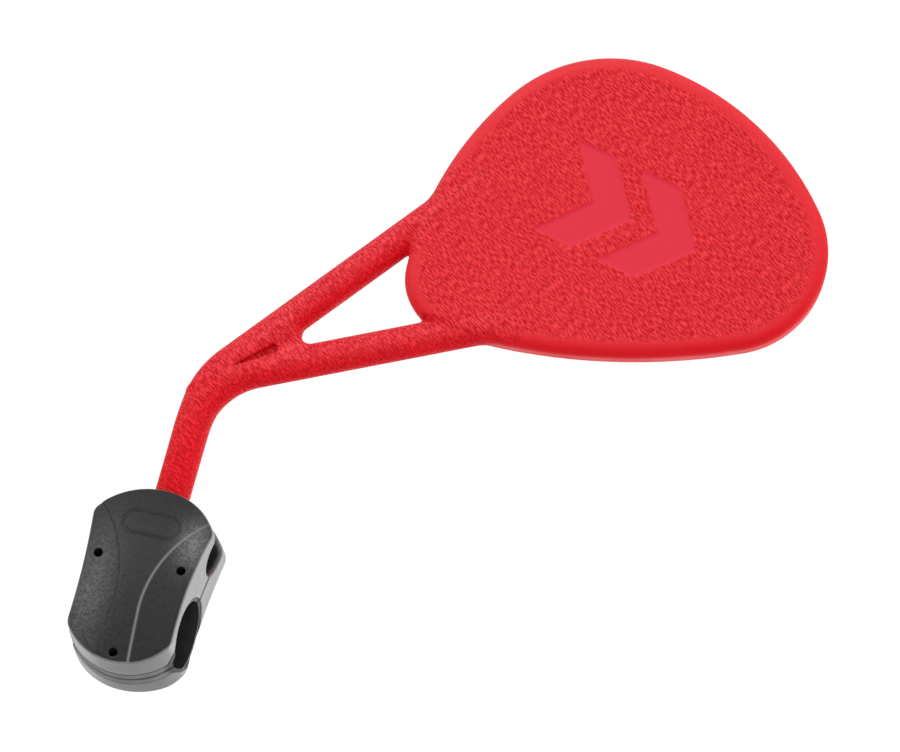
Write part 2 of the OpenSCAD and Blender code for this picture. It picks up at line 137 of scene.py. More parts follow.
def arm_matrix():
    """The turn from the arm's frame to the row frame."""
    tilt, lean = math.radians(ARM_TILT), math.radians(ARM_LEAN)
    turn = Matrix.Rotation(-lean, 3, "Y") @ Matrix.Rotation(-tilt, 3, "X")
    return np.array(turn @ Matrix(((-1, 0, 0), (0, 0, 1), (0, 1, 0))))


ARM = arm_matrix()
BALL = np.array([0.0, -BALL_BACK, BALL_H])


def in_arm(points):
    """Arm-frame millimetres to row-frame metres."""
    return (points @ ARM.T + BALL) * MM


# ---------- distance helpers ----------
def length(*parts):
    return np.sqrt(sum(p * p for p in parts))


def rounded_meet(a, b, r):
    """The solid inside both a and b, its outer edge rounded."""
    return np.minimum(np.maximum(a, b), -r) + length(np.maximum(a + r, 0), np.maximum(b + r, 0))


def rounded_join(a, b, r):
    """The solid inside a or b, its inner corner filled to radius r."""
    return np.maximum(np.minimum(a, b), r) - length(np.maximum(r - a, 0), np.maximum(r - b, 0))


def rounded_cut(a, b, r):
    """a with b cut away, the new edge rounded."""
    return rounded_meet(a, -b, r)


def ease(x, low, high):
    """0 at low, 1 at high, smooth between them; low may be the larger."""
    t = np.clip((x - low) / (high - low), 0, 1)
    return t * t * (3 - 2 * t)


def to_segment(u, w, a, b):
    """Distance in the plane from (u, w) to the straight line a-b."""
    a, b = np.asarray(a, float), np.asarray(b, float)
    run = b - a
    t = np.clip(((u - a[0]) * run[0] + (w - a[1]) * run[1]) / run.dot(run), 0, 1)
    return length(u - a[0] - t * run[0], w - a[1] - t * run[1])


def to_polygon(u, w, corners):
    """Signed distance in the plane to a closed polygon, negative inside."""
    far = np.full(np.broadcast(u, w).shape, 1e9)
    inside = np.zeros(far.shape, bool)
    for a, b in zip(corners, corners[1:] + corners[:1]):
        far = np.minimum(far, to_segment(u, w, a, b))
        between = (w < a[1]) != (w < b[1])
        crossing = (b[0] - a[0]) * (w - a[1]) / ((b[1] - a[1]) or 1e-9) + a[0]
        inside ^= between & (u < crossing)
    return np.where(inside, -far, far)


# ---------- skinning ----------
def skin(solid, low, high, voxel):
    """Points and four-sided faces of a solid's surface, by surface nets settled on the true surface."""
    axes = [np.arange(lo - voxel, hi + 2 * voxel, voxel) for lo, hi in zip(low, high)]
    shape = [len(a) for a in axes]
    grid = [a.reshape([-1 if i == k else 1 for i in range(3)]) for k, a in enumerate(axes)]
    field = np.broadcast_to(solid(*grid), shape).astype(np.float32)
    inside = field < 0
    cells, crossings, faces = [], [], []
    for axis in range(3):
        head = tuple(slice(None, -1) if k == axis else slice(None) for k in range(3))
        tail = tuple(slice(1, None) if k == axis else slice(None) for k in range(3))
        at = np.argwhere(inside[head] != inside[tail])
        beyond = at.copy()
        beyond[:, axis] += 1
        f0, f1 = field[tuple(at.T)], field[tuple(beyond.T)]
        point = at.astype(float)
        point[:, axis] += f0 / (f0 - f1)
        ring = []
        for step_b, step_c in ((0, 0), (1, 0), (1, 1), (0, 1)):
            cell = at.copy()
            cell[:, (axis + 1) % 3] -= step_b
            cell[:, (axis + 2) % 3] -= step_c
            ring.append(np.ravel_multi_index(tuple(cell.T), shape))
        ring = np.stack(ring, 1)
        cells.append(ring.ravel())
        crossings.append(np.repeat(point, 4, 0))
        faces.append(np.where((f0 < 0)[:, None], ring, ring[:, ::-1]))
    used, index = np.unique(np.concatenate(cells), return_inverse=True)
    total = np.bincount(index)
    crossings = np.concatenate(crossings)
    points = np.stack([np.bincount(index, crossings[:, k]) / total for k in range(3)], 1)
    points = points * voxel + np.array([a[0] for a in axes])
    quads = np.searchsorted(used, np.concatenate(faces))
    return settle(solid, points, voxel), quads.tolist()


def slope(solid, points, reach=0.02):
    """The solid's distance at each point, and the direction in which it grows."""
    value = solid(*points.T)
    parts = []
    for k in range(3):
        step = np.zeros(3)
        step[k] = reach
        parts.append((solid(*(points + step).T) - solid(*(points - step).T)) / (2 * reach))
    return value, np.stack(parts, 1)


def settle(solid, points, voxel):
    """Moves points on to the solid's true surface, by three Newton steps."""
    for _ in range(3):
        value, grow = slope(solid, points)
        steep = np.maximum((grow * grow).sum(1), 0.05)
        points = points - (np.clip(value, -voxel / 2, voxel / 2) / steep)[:, None] * grow
    return points


def make_object(name, points, faces, to_row):
    """A smooth mesh in the row frame. The drawing-frame millimetres are kept for the materials."""
    mesh = bpy.data.meshes.new(name)
    mesh.from_pydata(to_row(points).tolist(), [], faces)
    mesh.update()
    mesh.shade_smooth()
    local = mesh.attributes.new("local_mm", "FLOAT_VECTOR", "POINT")
    local.data.foreach_set("vector", points.astype(np.float32).ravel())
    obj = bpy.data.objects.new(name, mesh)
    bpy.context.scene.collection.objects.link(obj)
    return obj


def stored_points(obj):
    """The drawing-frame millimetres kept at each point of a mesh."""
    points = np.zeros(len(obj.data.vertices) * 3, np.float32)
    obj.data.attributes["local_mm"].data.foreach_get("vector", points)
    return points.reshape(-1, 3).astype(float)


# ---------- the mirror's one-piece body ----------
def direction(turn):
    """Unit vector in the arm plane, turned away from the stem."""
    a = math.radians(turn)
    return np.array([math.sin(a), math.cos(a)])


def polar(degrees):
    """Unit vector in the arm plane, turned up from the u axis."""
    a = math.radians(degrees)
    return np.array([math.cos(a), math.sin(a)])


def outline_arcs():
    """(centre, radius, start, end) of the six tangent arcs of the head, in degrees."""
    centres = [END_C]
    for k, turn in enumerate(ARC_TURNS):
        centres.append(centres[-1] + (ARC_RADII[k] - ARC_RADII[k + 1]) * polar(turn))
    heel, heel_r = centres[-1], ARC_RADII[-1]
    span = END_C - heel
    reach = float(np.hypot(*span))
    from_heel, from_end = BELLY_R - heel_r, BELLY_R - END_R
    along = (from_heel**2 - from_end**2 + reach**2) / (2 * reach)
    across = math.sqrt(from_heel**2 - along**2)
    belly = heel + along * span / reach + across * np.array([-span[1], span[0]]) / reach
    bearing = lambda p: 360 + math.degrees(math.atan2(*(p - belly)[::-1]))
    turns = [bearing(END_C) - 360, *ARC_TURNS, bearing(heel), bearing(END_C)]
    return list(zip([*centres, belly], [*ARC_RADII, BELLY_R], turns, turns[1:]))


ARCS = outline_arcs()


def head_edge(u, w):
    """Signed distance in the arm plane to the head's outline, negative inside."""
    best = np.full(np.broadcast(u, w).shape, 1e3)
    for centre, radius, start, end in ARCS:
        du, dw = u - centre[0], w - centre[1]
        bearing = (np.degrees(np.arctan2(dw, du)) - start) % 360
        gap = length(du, dw) - radius
        best = np.where((bearing <= end - start) & (np.abs(gap) < np.abs(best)), gap, best)
    return best


def to_path(u, w, turn, run):
    """Distance in the arm plane to the line of one strut: up the stem, round the bend, then straight."""
    bend_at = FORK_AT - BEND_R * math.tan(math.radians(turn / 2))
    bearing = np.degrees(np.arctan2(w - bend_at, BEND_R - u))
    arc = np.abs(length(u - BEND_R, w - bend_at) - BEND_R)
    arc = np.where((bearing >= 0) & (bearing <= turn), arc, 1e3)
    stem = to_segment(u, w, (0, 0), (0, bend_at))
    fork = np.array([0, FORK_AT])
    start = fork + BEND_R * math.tan(math.radians(turn / 2)) * direction(turn)
    strut = to_segment(u, w, start, fork + run * direction(turn))
    return np.minimum(np.minimum(stem, arc), strut)


def fork_frame(u, w):
    """(across, along) from the fork, along the line midway between the struts."""
    ahead = direction((UPPER_TURN + LOWER_TURN) / 2)
    du, dw = u, w - FORK_AT
    return du * ahead[1] - dw * ahead[0], du * ahead[0] + dw * ahead[1]


def mark_corners():
    """Corners of the two chevrons, around the mark's own centre."""
    chevrons = []
    for shift in (-MARK_STEP / 2, MARK_STEP / 2):
        back, front = shift - MARK_ARM, shift - MARK_ARM + MARK_THICK
        chevrons.append([
            (back, MARK_HALF_H), (front, MARK_HALF_H), (shift + MARK_THICK, 0),
            (front, -MARK_HALF_H), (back, -MARK_HALF_H), (shift, 0),
        ])
    return chevrons


def to_mark(u, w):
    """Signed distance in the arm plane to the double chevron, negative inside."""
    c, s = polar(MARK_TURN)
    du, dw = u - MARK_AT[0], w - MARK_AT[1]
    across, up = du * c + dw * s, dw * c - du * s
    first, second = (to_polygon(across, up, chevron) for chevron in mark_corners())
    return np.minimum(first, second)


def mirror_solid(u, w, d):
    """Signed distance to the whole red moulding: head, struts, web with its pocket, stem and ball."""
    edge = head_edge(u, w)
    sunk = MARK_DEEP * (1 - ease(to_mark(u, w), *MARK_WALL))
    back = rounded_meet(edge, d - HEAD_BACK + sunk, BACK_EDGE)
    head = np.maximum(back, rounded_meet(edge, -d - HEAD_RIM, RIM_EDGE))

    bend_at = FORK_AT - BEND_R * math.tan(math.radians(LOWER_TURN / 2))
    swell = STEM_R + (STRUT_R - STEM_R) * ease(w, bend_at - SWELL_BEFORE, bend_at + SWELL_AFTER)
    upper = length(to_path(u, w, UPPER_TURN, UPPER_LEN), d) - swell
    lower = length(to_path(u, w, LOWER_TURN, LOWER_LEN), d) - swell
    arm = rounded_join(upper, lower, FORK_FILL)

    across, along = fork_frame(u, w)
    half_angle = math.radians((LOWER_TURN - UPPER_TURN) / 2)
    web = np.maximum(np.abs(across) * math.cos(half_angle) - along * math.sin(half_angle), along - WEB_END)
    web = rounded_meet(web, np.abs(d) - WEB_HALF, WEB_EDGE)
    arm = rounded_join(arm, web, WEB_FILL)

    taper = np.clip((along - POCKET_START) / (POCKET_END - POCKET_START), 0, 1)
    pocket = np.maximum(np.abs(across) - POCKET_HALF * taper - POCKET_LEAD, along - POCKET_END)
    pocket = np.maximum(pocket, POCKET_START - along)
    pocket = rounded_meet(pocket, WEB_HALF - POCKET_DEEP * taper - d, POCKET_FLOOR_EDGE)

    ball = length(u, w, d) - BALL_R
    arm = rounded_join(arm, ball, FOOT_FILL)
    body = rounded_join(head, arm, NECK_FILL)
    body = rounded_cut(body, pocket, POCKET_EDGE)
    recess = np.maximum(edge + RECESS_INSET, d - GLASS_SEAT)
    return rounded_cut(body, recess, RECESS_EDGE)


def mirror_body():
    """The red moulding's skin, in a box that holds the ball and every arc of the head."""
    reach = np.array([[*(c + r * polar(a))] for c, r, s, e in ARCS for a in np.linspace(s, e, 20)])
    low, high = (-9.2, -9.2, -9.0), (*(reach.max(0) + 1), 9.0)
    points, faces = skin(mirror_solid, low, high, MIRROR_VOXEL)
    return make_object("red_body", points, faces, in_arm)


# ---------- the glass ----------
def glass_rings(sides=420):
    """Rows of (arc's centre, unit vector out of it, arc's radius) around the head's outline."""
    ring = []
    total = sum((end - start) * radius for _, radius, start, end in ARCS)
    for centre, radius, start, end in ARCS:
        steps = max(4, round(sides * (end - start) * radius / total))
        for k in range(steps):
            ring.append(np.array([*centre, *polar(start + (end - start) * k / steps), radius]))
    return np.array(ring)


def glass_mesh():
    """A slightly domed glass with ground edges: rings from the back, round the rim, to the front."""
    ring = glass_rings()
    n = len(ring)
    middle = (ring[:, :2] + ring[:, 4:] * ring[:, 2:4]).mean(0)
    front, back, bevel = -HEAD_RIM, -HEAD_RIM + GLASS_T, 0.35

    def loop(inset, depth, shrink=1.0):
        flat = ring[:, :2] + (ring[:, 4:] - RECESS_INSET - GLASS_GAP - inset) * ring[:, 2:4]
        flat = middle + (flat - middle) * shrink
        return np.column_stack([flat, np.full(n, depth)])

    fractions = [0.06, 0.2, 0.4, 0.6, 0.8, 0.92]
    loops = [loop(bevel, back, f) for f in fractions] + [loop(bevel, back), loop(0, back - bevel)]
    loops += [loop(0, front + bevel), loop(bevel, front)]
    loops += [loop(bevel, front - GLASS_DOME * (1 - f * f), f) for f in reversed(fractions)]
    points = np.concatenate([*loops, [[*middle, back], [*middle, front - GLASS_DOME]]])
    faces = []
    for i in range(len(loops) - 1):
        this, beyond = i * n, (i + 1) * n
        faces += [(this + k, this + (k + 1) % n, beyond + (k + 1) % n, beyond + k) for k in range(n)]
    last, back_middle = (len(loops) - 1) * n, len(loops) * n
    faces += [(back_middle, (k + 1) % n, k) for k in range(n)]
    faces += [(back_middle + 1, last + k, last + (k + 1) % n) for k in range(n)]
    return make_object("glass", points, faces, in_arm)


# ---------- the clamp shells ----------
def clamp_outline(u, w, d):
    """Signed distance to the tapered clamp outline with its arched ends and hollow sides."""
    top = length(u, w - (CLAMP_TOP - TOP_ARC_R)) - TOP_ARC_R + DRAFT * d
    top = np.where(w > CLAMP_TOP - TOP_ARC_R, top, -1e3)
    low = length(u, w - (LOW_ARC_R - CLAMP_BOTTOM)) - LOW_ARC_R + DRAFT * d
    low = np.where(w < LOW_ARC_R - CLAMP_BOTTOM, low, -1e3)
    side = WAIST_R - length(WAIST_HALF + WAIST_R - DRAFT * d - np.abs(u), w - WAIST_H)
    body = rounded_meet(side, top, OUTLINE_EDGE)
    return rounded_meet(body, low, OUTLINE_EDGE)


def face_height(w):
    """The domed front face's height along the middle line."""
    return FRONT_CREST - FRONT_DOME_R + np.sqrt(FRONT_DOME_R**2 - (w - CREST_H) ** 2)


def band_edge(u, w):
    """Distance in the plane beyond the edge of the raised middle band, positive on the wings."""
    centre = BAND_HALF + BAND_EDGE_R
    curved = BAND_EDGE_R - length(centre - np.abs(u), w - BAND_BEND_H)
    run = -CLAMP_BOTTOM - BAND_BEND_H
    straight = np.abs(u) - BAND_HALF - (BAND_FOOT_HALF - BAND_HALF) * (w - BAND_BEND_H) / run
    return np.where(w > BAND_BEND_H, curved, straight)


def badge_line(u, w):
    """Distance in the plane to the middle of the sunken ring's line."""
    half_run = (BADGE_W - BADGE_H) / 2
    off = length(np.maximum(np.abs(u) - half_run, 0), w - BADGE_AT_H)
    return np.abs(off - (BADGE_H - BADGE_LINE) / 2)


def stem_slot(u, w, d):
    """The fan-shaped room that the stem folds through, about the ball's centre."""
    du, dw, dd = u, w - BALL_H, d + BALL_BACK
    out = length(du, dw)
    tilt = math.radians(ARM_TILT)
    fan = np.abs(dd - out * math.tan(tilt)) * math.cos(tilt) - (STEM_R + SLOT_GAP)
    ends = length(dw, dd - np.abs(du) * math.tan(tilt)) - (STEM_R + SLOT_GAP) / math.cos(tilt)
    return np.where(dw > 0, fan, ends)


def screw_holes(u, w, radius):
    """Signed distance in the plane to the nearest of the three screws' round holes."""
    return np.minimum.reduce([length(u - x, w - h) for x, h in SCREW_PLACES]) - radius


def open_room(body, u, w, d, side):
    """Cuts the seats of bar and sleeve flange, the ball socket and the stem's slot; side is 1 or -1."""
    seat = length(w, d) - SLEEVE_R - FIT_GAP
    flange = np.maximum(w, side * d - FLANGE_FAR - SEAM)
    socket = length(u, w - BALL_H, d + BALL_BACK) - SOCKET_R
    body = rounded_cut(body, rounded_join(seat, flange, SEAT_FILL), SEAT_EDGE)
    return rounded_cut(body, np.minimum(socket, stem_slot(u, w, d)), SOCKET_EDGE)


def front_solid(u, w, d):
    """Signed distance to the front shell, with its raised band, sunken ring and gate mark."""
    beyond = band_edge(u, w)
    drop = WING_STEP * ease(beyond, *STEP_WALL) + WING_SLOPE * np.maximum(beyond, 0)
    ring = BADGE_DEEP * (1 - ease(badge_line(u, w), *LINE_WALL))
    gate = GATE_DEEP * (1 - ease(length(u - GATE_AT[0], w - GATE_AT[1]), *GATE_WALL))
    face = d - face_height(w) + drop + ring + gate
    body = rounded_meet(clamp_outline(u, w, d), face, FRONT_EDGE)
    body = rounded_meet(body, HALF_SLIT - d, SLIT_EDGE)
    body = open_room(body, u, w, d, 1)
    pilots = screw_holes(u, w, PILOT_R)
    shanks = np.maximum(screw_holes(u, w, SCREW_R + FIT_GAP), d - SCREW_END)
    return rounded_cut(body, np.minimum(pilots, shanks), PILOT_EDGE)


def rear_solid(u, w, d):
    """Signed distance to the rear shell, domed both ways, with the screws' head rooms."""
    dome = length(w - CREST_H, d - (REAR_DOME_R - REAR_CREST)) - REAR_DOME_R
    cross = length(u, d - (REAR_SIDE_R - REAR_SIDE_CREST)) - REAR_SIDE_R
    face = rounded_meet(dome, cross, REAR_RIDGE)
    body = rounded_meet(clamp_outline(u, w, d), face, REAR_EDGE)
    body = rounded_meet(body, d + HALF_SLIT, SLIT_EDGE)
    body = open_room(body, u, w, d, -1)
    shanks = screw_holes(u, w, SCREW_R + FIT_GAP)
    heads = np.maximum(screw_holes(u, w, HEAD_ROOM_R), d + SCREW_SEAT)
    return rounded_cut(body, np.minimum(shanks, heads), HEAD_ROOM_EDGE)


def front_shell():
    low, high = (-24, -22, 0), (24, 44, 19)
    return make_object("front_shell_skin", *skin(front_solid, low, high, SHELL_VOXEL), face_on)


def rear_shell():
    low, high = (-24, -23, -17), (24, 45, 0)
    return make_object("rear_shell_skin", *skin(rear_solid, low, high, SHELL_VOXEL), face_on)


# ---------- materials ----------
class Nodes:
    """Short ways to add and join shader nodes in one material."""

    def __init__(self, name):
        self.material = bpy.data.materials.new(name)
        self.material.use_nodes = True
        self.tree = self.material.node_tree
        self.shader = self.tree.nodes["Principled BSDF"]

    def add(self, kind, **settings):
        node = self.tree.nodes.new(kind)
        inputs = settings.pop("inputs", {})
        for key, value in settings.items():
            setattr(node, key, value)
        for key, value in inputs.items():
            self.feed(node, key, value)
        return node

    def feed(self, node, key, value):
        if isinstance(value, bpy.types.NodeSocket):
            self.tree.links.new(value, node.inputs[key])
        else:
            node.inputs[key].default_value = value

    def math(self, operation, a, b=0.0):
        node = self.add("ShaderNodeMath", operation=operation)
        self.feed(node, 0, a)
        self.feed(node, 1, b)
        return node.outputs[0]

    def noise(self, where, scale, detail=2.0, rough=0.5):
        inputs = {"Vector": where, "Scale": scale, "Detail": detail, "Roughness": rough}
        return self.add("ShaderNodeTexNoise", inputs=inputs).outputs["Fac"]

    def stretch(self, where, scale, turn=0.0):
        """Coordinates turned about the third axis, then scaled on each axis."""
        turned = self.add("ShaderNodeMapping", inputs={"Vector": where, "Rotation": (0, 0, turn)})
        return self.add("ShaderNodeMapping", inputs={"Vector": turned.outputs[0], "Scale": scale}).outputs[0]

    def ramp(self, value, low, high, out_low=0.0, out_high=1.0):
        inputs = {"Value": value, "From Min": low, "From Max": high, "To Min": out_low, "To Max": out_high}
        return self.add("ShaderNodeMapRange", inputs=inputs).outputs[0]

    def blend(self, factor, a, b):
        node = self.add("ShaderNodeMix", data_type="RGBA")
        self.feed(node, 0, factor)
        self.feed(node, 6, a)
        self.feed(node, 7, b)
        return node.outputs[2]

    def bump(self, height, strength, distance):
        inputs = {"Height": height, "Strength": strength, "Distance": distance}
        return self.add("ShaderNodeBump", inputs=inputs).outputs[0]

    def local(self):
        return self.add("ShaderNodeAttribute", attribute_name="local_mm").outputs["Vector"]

    def stored(self, name):
        """One number per point, kept on the mesh by store()."""
        return self.add("ShaderNodeAttribute", attribute_name=name).outputs["Fac"]

    def object_mm(self):
        """Millimetres from the frame's own coordinates, for pieces without stored ones."""
        coords = self.add("ShaderNodeTexCoord").outputs["Object"]
        return self.stretch(coords, (1 / MM, 1 / MM, 1 / MM))

    def total(self, *parts):
        """The sum of (value, weight) pairs."""
        weighted = [self.math("MULTIPLY", value, weight) for value, weight in parts]
        result = weighted[0]
        for value in weighted[1:]:
            result = self.math("ADD", result, value)
        return result

    def paint(self, obj, **sockets):
        """Sets the shader's sockets and puts the material on obj."""
        for key, value in sockets.items():
            self.feed(self.shader, key.replace("_", " "), value)
        obj.data.materials.clear()
        obj.data.materials.append(self.material)


def grey(value, blue=0.0):
    return (value, value, value + blue, 1)


def red_plastic(obj):
    """Red moulded plastic with a fine slanting grain, smooth near the head's edge and in the mark, paled by
    a painted sheen on what faces the upper left and by a painted reflection in the mark.
    """
    n = Nodes("red_plastic")
    where, grainy = n.local(), n.stored("grain")
    strokes = n.noise(n.stretch(where, (0.5, 2.3, 1.1), STROKE_TURN), 1.0, 1.0, 0.5)
    fine = n.noise(n.stretch(where, (1.0, 3.4, 1.8), STROKE_TURN + 0.2), 1.0, 1.0, 0.5)
    relief = n.ramp(n.total((strokes, 0.75), (fine, 0.25)), 0.42, 0.58)
    patches = n.noise(where, 0.05, 3.0)
    tone = n.math("SUBTRACT", n.total((relief, 1.15), (patches, 0.3)), 0.70)
    tone = n.math("ADD", 0.55, n.math("MULTIPLY", tone, grainy))
    # Painted sheen: the red turns paler and hazier where the stored sheen is high, on what faces the upper
    # left.
    red = n.blend(n.stored("painted_red_sheen"), n.blend(tone, *RED_DEEP), n.blend(tone, *RED_PAINTED_SHEEN))
    # Painted reflection: the mark's smooth floor gets a paler, bluer red.
    red = n.blend(n.math("MULTIPLY", n.stored("marked"), 0.8), red, RED_MARK)
    n.shader.subsurface_method = "RANDOM_WALK"
    n.paint(obj, Base_Color=red, Specular_IOR_Level=0.12,
            Roughness=n.ramp(patches, 0.3, 0.7, 0.50, 0.60),
            Normal=n.bump(n.math("MULTIPLY", relief, grainy), 0.9, 0.00016),
            Subsurface_Weight=0.12, Subsurface_Scale=0.003, Subsurface_Radius=(1.0, 0.05, 0.05))


def store(obj, name, value):
    """Keeps one number per point for the materials."""
    kept = obj.data.attributes.new(name, "FLOAT", "POINT")
    kept.data.foreach_set("value", value.astype(np.float32))


def store_grain_and_sheen(obj):
    """Where the grain is, the mark, and the painted sheen: palest on what faces the upper left, less of it
    low on the arm.
    """
    points = stored_points(obj)
    u, w, d = points.T
    edge = head_edge(u, w)
    strut = np.minimum(to_path(u, w, UPPER_TURN, UPPER_LEN), to_path(u, w, LOWER_TURN, LOWER_LEN))
    on_edge = ease(edge, -6.0, -4.0) * (1 - ease(edge, 0.5, 1.5)) * ease(strut, 6.5, 9.0)
    sunk = (1 - ease(to_mark(u, w), -0.1, 0.4)) * (d > 0)
    recess = (edge < -RECESS_INSET) & (d < 0)
    store(obj, "grain", np.where(recess, 0.2, (1 - 0.9 * on_edge) * (1 - sunk)))
    store(obj, "marked", sunk)
    # Painted sheen: how far each point faces a light at the upper left, weaker low on the arm.
    facing = slope(mirror_solid, points)[1] @ np.array([-0.45, 0.60, 0.66])
    up_the_arm = 0.15 + 0.85 * ease(w, 20, 90)
    store(obj, "painted_red_sheen", ease(facing, -0.15, 1.25) * 1.15 * up_the_arm)


def black_plastic(obj, name):
    """Dark moulded plastic: a grained matt face with patches of painted sheen, smooth walls whose pale grey
    is a painted reflection, and a painted highlight beside the band.
    """
    n = Nodes(name)
    where, face = n.local(), n.stored("face")
    fine = n.noise(where, 2.6, 3.0, 0.65)
    relief = n.total((fine, 0.7), (n.noise(where, 0.9, 2.0, 0.5), 0.3))
    patches = n.noise(where, 0.10, 3.0)
    dark = n.blend(n.ramp(relief, 0.35, 0.65), grey(0.006, 0.0005), grey(0.024, 0.001))
    # Painted sheen: a paler, sparkling grey that stands in for light caught on the front's wings.
    painted_sheen = n.blend(n.ramp(relief, 0.42, 0.60), grey(0.055), grey(0.20))
    # The walls' pale grey is a painted reflection of bright surroundings; their smoother, shinier finish is
    # real.
    wall = n.blend(n.ramp(patches, 0.3, 0.7), grey(0.115, 0.001), grey(0.165, 0.001))
    shade = n.blend(face, wall, n.blend(n.stored("painted_sheen"), dark, painted_sheen))
    # Painted highlight: a pale line along the band's right edge.
    shade = n.blend(n.math("MULTIPLY", n.stored("painted_crease_highlight"), 0.9), shade, grey(0.22))
    strength = n.math("ADD", 0.12, n.math("MULTIPLY", face, 0.5))
    n.paint(obj, Base_Color=shade, Normal=n.bump(relief, strength, 0.00012),
            Roughness=n.math("ADD", n.ramp(fine, 0.3, 0.7, 0.26, 0.36), n.math("MULTIPLY", face, 0.14)),
            Specular_IOR_Level=n.math("SUBTRACT", 0.6, n.math("MULTIPLY", face, 0.36)))


def store_face(obj, solid):
    """Which points are dark and grained, which get a painted sheen, and which lie on the band's edge with a
    painted highlight.
    """
    points = stored_points(obj)
    u, w, d = points.T
    outward = np.abs(slope(solid, points)[1][:, 2]) * (np.abs(d) > FLANGE_FAR + 2)
    on_face = ease(outward, 0.70, 0.93)
    inside = ease(clamp_outline(u, w, d), -0.8, -2.0)
    store(obj, "face", np.maximum(on_face, inside))
    # Painted sheen on the front: a broad patch on the left wing and a brighter one at the upper right.
    left = np.exp(-((u + 13) / 7) ** 2 - ((w - 2) / 20) ** 2)
    right = np.exp(-((u - 15) / 5) ** 2 - ((w - 25) / 8) ** 2)
    store(obj, "painted_sheen", (0.55 * left + right) * (d > 0) * on_face)
    # Painted highlight along the band's right crease, fading toward the top.
    line = np.exp(-((band_edge(u, w) - 0.15) / 0.33) ** 2)
    store(obj, "painted_crease_highlight", line * (u > 0) * (d > 0) * ease(outward, 0.6, 0.8) * ease(w, 37, 28))


def plain_plastic(obj, name, low, high, rough, relief):
    """Smooth moulded plastic with faint flow marks and small scuffs."""
    n = Nodes(name)
    where = n.object_mm()
    flow = n.ramp(n.noise(where, 0.25, 4.0), 0.35, 0.65)
    fine = n.noise(where, 2.5, 3.0)
    n.paint(obj, Base_Color=n.blend(flow, low, high), Normal=n.bump(fine, relief, 0.0001),
            Roughness=n.ramp(fine, 0.3, 0.7, rough, rough + 0.12))


def sleeve_plastic(obj, name):
    """Sleeve plastic: near-black in the bore as painted shade, and paler on the flange outside."""
    n = Nodes(name)
    where = n.object_mm()
    place = n.add("ShaderNodeSeparateXYZ", inputs={0: where}).outputs
    squares = n.math("ADD", n.math("POWER", place[1], 2.0), n.math("POWER", place[2], 2.0))
    on_flange = n.ramp(n.math("SQRT", squares), SLEEVE_R, SLEEVE_R + 1.5)
    flow = n.ramp(n.noise(where, 0.25, 4.0), 0.35, 0.65)
    fine = n.noise(where, 2.5, 3.0)
    # Painted shade: the bore is near-black, the flange outside a paler grey of the same plastic.
    bore = n.blend(flow, grey(0.008, 0.001), grey(0.016, 0.001))
    flange = n.blend(flow, grey(0.10, 0.002), grey(0.15, 0.002))
    n.paint(obj, Base_Color=n.blend(on_flange, bore, flange), Normal=n.bump(fine, 0.3, 0.0001),
            Roughness=n.ramp(fine, 0.3, 0.7, 0.45, 0.58))


def screw_steel(obj):
    """Zinc-plated steel with fine turning lines."""
    n = Nodes("zinc_steel")
    where = n.object_mm()
    lines = n.noise(n.stretch(where, (0.6, 6.0, 0.6)), 1.0, 3.0)
    spots = n.noise(where, 0.9, 4.0)
    shade = n.blend(n.ramp(spots, 0.35, 0.7), (0.55, 0.56, 0.58, 1), (0.42, 0.42, 0.41, 1))
    n.paint(obj, Base_Color=shade, Metallic=1.0, Normal=n.bump(lines, 0.3, 0.00004),
            Roughness=n.ramp(spots, 0.3, 0.7, 0.25, 0.42))


def mirror_silver(obj):
    """Silvered glass: a clean mirror with very faint waviness and a little dust, under a clear coat."""
    n = Nodes("silvered_glass")
    where = n.local()
    wave = n.noise(where, 0.03, 2.0)
    dust = n.ramp(n.noise(where, 1.6, 5.0, 0.7), 0.55, 0.8)
    shade = n.blend(dust, (0.86, 0.89, 0.90, 1), (0.70, 0.72, 0.72, 1))
    n.paint(obj, Base_Color=shade, Metallic=1.0, Normal=n.bump(wave, 0.12, 0.0004),
            Roughness=n.ramp(dust, 0.0, 1.0, 0.03, 0.16), Coat_Weight=0.6, Coat_Roughness=0.02)


def floor_paper(obj):
    """Pale matt paper with slow changes of tone."""
    n = Nodes("floor_paper")
    where = n.add("ShaderNodeTexCoord").outputs["Object"]
    tone = n.ramp(n.noise(where, 2.0, 3.0), 0.3, 0.7, 0.78, 0.82)
    shade = n.add("ShaderNodeCombineColor", inputs={0: tone, 1: tone, 2: tone}).outputs[0]
    n.paint(obj, Base_Color=shade, Roughness=0.9)


# ---------- stage ----------
def camera():
    data = bpy.data.cameras.new("camera")
    data.lens, data.sensor_width = CAMERA_LENS, CAMERA_SENSOR
    data.clip_start, data.clip_end = 0.05, 60.0
    obj = bpy.data.objects.new("camera", data)
    bpy.context.scene.collection.objects.link(obj)
    right, back = Vector(CAMERA_RIGHT).normalized(), Vector(CAMERA_BACK).normalized()
    up = back.cross(right).normalized()
    back = right.cross(up)
    place = Matrix((right, up, back)).transposed().to_4x4()
    place.translation = Vector(CAMERA_AT)
    obj.matrix_world = place
    bpy.context.scene.camera = obj


def toward(n, where, direction, low, high, strength):
    """Extra light from around one direction of the surroundings."""
    along = n.nodes.new("ShaderNodeVectorMath")
    along.operation = "DOT_PRODUCT"
    n.links.new(where, along.inputs[0])
    along.inputs[1].default_value = Vector(direction).normalized()
    ramp = n.nodes.new("ShaderNodeMapRange")
    ramp.interpolation_type = "SMOOTHSTEP"
    n.links.new(along.outputs["Value"], ramp.inputs["Value"])
    for key, value in (("From Min", low), ("From Max", high), ("To Min", 0.0), ("To Max", strength)):
        ramp.inputs[key].default_value = value
    return ramp.outputs[0]


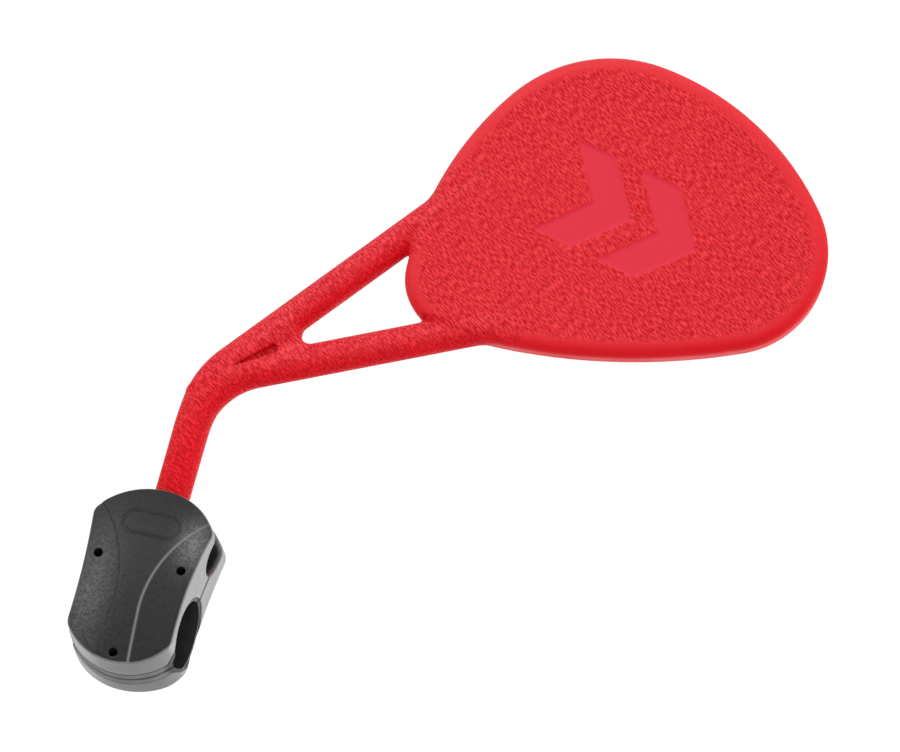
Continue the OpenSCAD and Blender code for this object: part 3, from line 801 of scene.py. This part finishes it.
def world():
    """White surroundings, dimmer before the object, brighter from below behind and from the upper left."""
    made = bpy.data.worlds.new("studio")
    made.use_nodes = True
    tree = made.node_tree
    where = tree.nodes.new("ShaderNodeTexCoord").outputs["Generated"]
    total = None
    for part in SURROUNDINGS:
        value = toward(tree, where, *part)
        if total is None:
            total = value
            continue
        add = tree.nodes.new("ShaderNodeMath")
        tree.links.new(total, add.inputs[0])
        tree.links.new(value, add.inputs[1])
        total = add.outputs[0]
    base = tree.nodes.new("ShaderNodeMath")
    tree.links.new(total, base.inputs[0])
    base.inputs[1].default_value = WORLD_BASE
    background = tree.nodes["Background"]
    background.inputs["Color"].default_value = (1.0, 1.0, 1.0, 1)
    tree.links.new(base.outputs[0], background.inputs["Strength"])
    bpy.context.scene.world = made


def key_light():
    """One soft square light, over the camera's shoulder."""
    data = bpy.data.lights.new("key", "AREA")
    data.shape, data.size, data.energy = "SQUARE", KEY_SIZE, KEY_POWER
    obj = bpy.data.objects.new("key", data)
    bpy.context.scene.collection.objects.link(obj)
    obj.location = KEY_AT
    obj.rotation_mode = "QUATERNION"
    obj.rotation_quaternion = (Vector(KEY_AT) - Vector(KEY_AIM)).to_track_quat("Z", "Y")


def floor():
    mesh = bpy.data.meshes.new("floor")
    corners = [(x * FLOOR_HALF, y * FLOOR_HALF, FLOOR_H) for x, y in ((-1, -1), (1, -1), (1, 1), (-1, 1))]
    mesh.from_pydata(corners, [], [(0, 1, 2, 3)])
    obj = bpy.data.objects.new("floor", mesh)
    bpy.context.scene.collection.objects.link(obj)
    floor_paper(obj)


# ---------- put together ----------
def dress(obj, body, node):
    """Shows obj in place of a CAD node, moving with that node's body."""
    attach(obj, body)
    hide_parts(node)


def mirror():
    body = mirror_body()
    store_grain_and_sheen(body)
    red_plastic(body)
    dress(body, "mirror", "mirror_body")
    glass = glass_mesh()
    mirror_silver(glass)
    dress(glass, "mirror", "mirror_glass")


def clamp():
    front, rear = front_shell(), rear_shell()
    store_face(front, front_solid)
    store_face(rear, rear_solid)
    black_plastic(front, "clamp_plastic")
    black_plastic(rear, "clamp_plastic_rear")
    dress(front, "clamp", "front_shell")
    dress(rear, "clamp", "rear_shell")


def carried_nodes(nodes):
    """Materials for the CAD nodes that are shown as they are."""
    for side in ("front", "rear"):
        sleeve, cup = nodes["bar_sleeve_" + side], nodes["ball_cup_" + side]
        sleeve_plastic(sleeve, "sleeve_" + side)
        # The cups' dark plastic is made darker still, as painted shade inside the ball socket.
        plain_plastic(cup, "cup_" + side, grey(0.010, 0.001), grey(0.020, 0.001), 0.5, 0.3)
    pad, screws = nodes["glass_pad"], nodes["clamp_screws"]
    plain_plastic(pad, "pad_foam", grey(0.03, 0.003), grey(0.06, 0.004), 0.85, 0.8)
    screw_steel(screws)


mirror()
clamp()
carried_nodes(frame["nodes"])
world()
floor()
camera()
key_light()
bpy.context.scene.view_settings.view_transform = "Standard"
